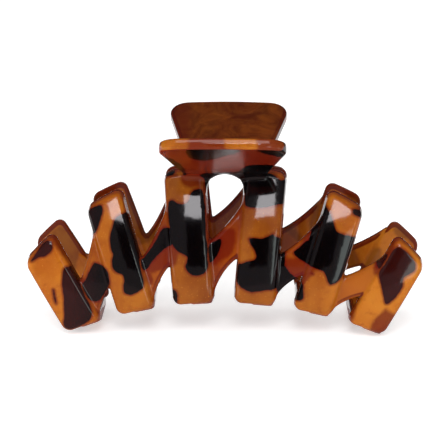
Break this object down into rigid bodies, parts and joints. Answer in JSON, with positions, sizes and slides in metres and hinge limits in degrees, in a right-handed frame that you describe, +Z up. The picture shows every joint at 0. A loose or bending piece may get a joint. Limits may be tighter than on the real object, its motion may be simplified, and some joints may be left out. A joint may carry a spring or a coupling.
{
  "type": "claw clip",
  "caption": "Spring-loaded claw clip for hair: two curved jaws of slanted bars with interlocking teeth, hinged on a steel pin under flared thumb tabs.",
  "frame": {"origin": "middle of the closed clip, on the plane that it stands on", "axes": "+X along the clip to the right, -Y towards the front jaw, +Z up through the hinge"},
  "size_m": [0.1086, 0.0666, 0.0579],
  "materials": {
    "front_shell": "polished translucent amber with dark brown patches",
    "back_shell": "polished translucent amber with dark brown patches",
    "pin_steel": "drawn wire",
    "spring_steel": "drawn wire"
  },
  "bodies": {
    "back": {"back_jaw": "back_shell", "hinge_pin": "pin_steel", "torsion_spring": "spring_steel"},
    "front": {"front_jaw": "front_shell"}
  },
  "joints": [
    {"name": "jaw_hinge", "type": "hinge", "parent": "back", "child": "front", "pos_m": [0, 0, 0.0464], "axis": [-1, 0, 0], "range_deg": [0, 65], "stiffness_Nm_per_rad": 0.17, "springref_deg": -40.11, "deforming": ["torsion_spring"]}
  ]
}
